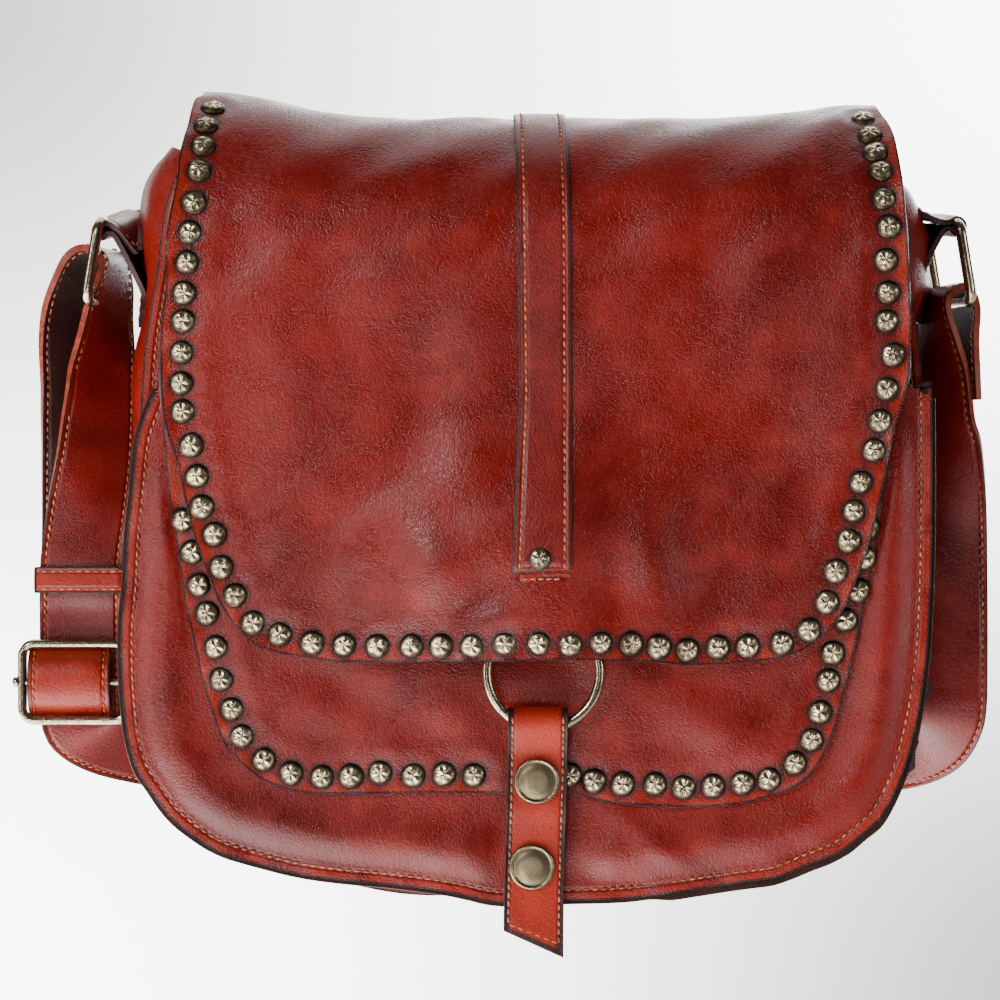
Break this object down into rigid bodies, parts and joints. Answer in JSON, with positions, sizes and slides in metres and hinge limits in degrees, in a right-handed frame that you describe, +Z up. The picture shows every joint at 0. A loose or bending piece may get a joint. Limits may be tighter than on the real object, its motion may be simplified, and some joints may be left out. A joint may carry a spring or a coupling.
{
  "type": "leather shoulder purse",
  "caption": "Box-sewn leather shoulder bag with studded main and pocket flaps, a ring-hung closure tab, side rings and a carrying strap with keeper and slider.",
  "frame": {"origin": "middle of the underside of the gusset that forms the base", "axes": "+Z up as the bag is carried, -Y towards the front with the flaps, +X to the viewer's right"},
  "size_m": [0.3284, 0.112, 0.2772],
  "materials": {
    "back_panel": "smooth dyed hide",
    "front_panel": "smooth dyed hide",
    "main_gusset": "smooth dyed hide",
    "pocket_panel": "smooth dyed hide",
    "pocket_gusset": "smooth dyed hide",
    "main_flap": "glossy pebbled hide with brass studs",
    "pocket_flap": "glossy pebbled hide with brass studs",
    "centre_strip": "stitched strip with painted edges",
    "strip_stud": "antique, domed",
    "ring_hanger": "raw dark hide",
    "closure_ring": "polished antique wire",
    "closure_tab": "stitched strip with painted edges",
    "upper_snap_cap": "worn antique",
    "upper_snap_stud": "worn antique",
    "lower_snap_cap": "worn antique",
    "lower_snap_socket": "worn antique",
    "lower_snap_stud": "worn antique",
    "ring_loop_left": "folded strip with painted edges",
    "ring_loop_right": "folded strip with painted edges",
    "side_ring_left": "polished antique wire",
    "side_ring_right": "polished antique wire",
    "strap": "stitched strap, dark inside",
    "strap_keeper": "stitched loop",
    "slider_buckle": "polished antique wire"
  },
  "bodies": {
    "bag": {"back_panel": "back_panel", "front_panel": "front_panel", "main_gusset": "main_gusset", "pocket_panel": "pocket_panel", "pocket_gusset": "pocket_gusset", "ring_loop_left": "ring_loop_left", "ring_loop_right": "ring_loop_right", "strap": "strap", "lower_snap_stud": "lower_snap_stud"},
    "main_flap": {"main_flap": "main_flap", "centre_strip": "centre_strip", "strip_stud": "strip_stud", "ring_hanger": "ring_hanger"},
    "pocket_flap": {"pocket_flap": "pocket_flap"},
    "closure_ring": {"closure_ring": "closure_ring"},
    "closure_tab": {"closure_tab": "closure_tab", "upper_snap_cap": "upper_snap_cap", "upper_snap_stud": "upper_snap_stud", "lower_snap_cap": "lower_snap_cap", "lower_snap_socket": "lower_snap_socket"},
    "side_ring_left": {"side_ring_left": "side_ring_left"},
    "side_ring_right": {"side_ring_right": "side_ring_right"},
    "keeper": {"strap_keeper": "strap_keeper"},
    "slider": {"slider_buckle": "slider_buckle"}
  },
  "joints": [
    {"name": "main_flap_hinge", "type": "hinge", "parent": "bag", "child": "main_flap", "pos_m": [0, 0.03605, 0.207], "axis": [-1, 0, 0], "range_deg": [0, 165]},
    {"name": "pocket_flap_hinge", "type": "hinge", "parent": "bag", "child": "pocket_flap", "pos_m": [0, -0.03635, 0.169], "axis": [-1, 0, 0], "range_deg": [0, 85]},
    {"name": "closure_ring_hinge", "type": "hinge", "parent": "main_flap", "child": "closure_ring", "pos_m": [0, -0.0605, 0.0861], "axis": [-1, 0, 0], "range_deg": [0, 11]},
    {"name": "closure_tab_hinge", "type": "hinge", "parent": "closure_ring", "child": "closure_tab", "pos_m": [0, -0.0605, 0.0494], "axis": [-1, 0, 0], "range_deg": [0, 20]},
    {"name": "side_ring_left_hinge", "type": "hinge", "parent": "bag", "child": "side_ring_left", "pos_m": [-0.1415, 0, 0.217], "axis": [0.2079, 0.9781, 0], "range_deg": [-10, 90], "deforming": ["strap"]},
    {"name": "side_ring_right_hinge", "type": "hinge", "parent": "bag", "child": "side_ring_right", "pos_m": [0.1396, 0, 0.217], "axis": [0.2079, -0.9781, 0], "range_deg": [-10, 90], "deforming": ["strap"]},
    {"name": "keeper_slide", "type": "slide", "parent": "bag", "child": "keeper", "axis": [0, 0, 1], "range_m": [-0.003, 0.007]},
    {"name": "slider_slide", "type": "slide", "parent": "bag", "child": "slider", "axis": [0, 0, 1], "range_m": [0, 0.01], "deforming": ["strap"]}
  ],
  "couplings": [
    {"joint": "pocket_flap_hinge", "follows": "main_flap_hinge", "ratio": 0.5}
  ]
}
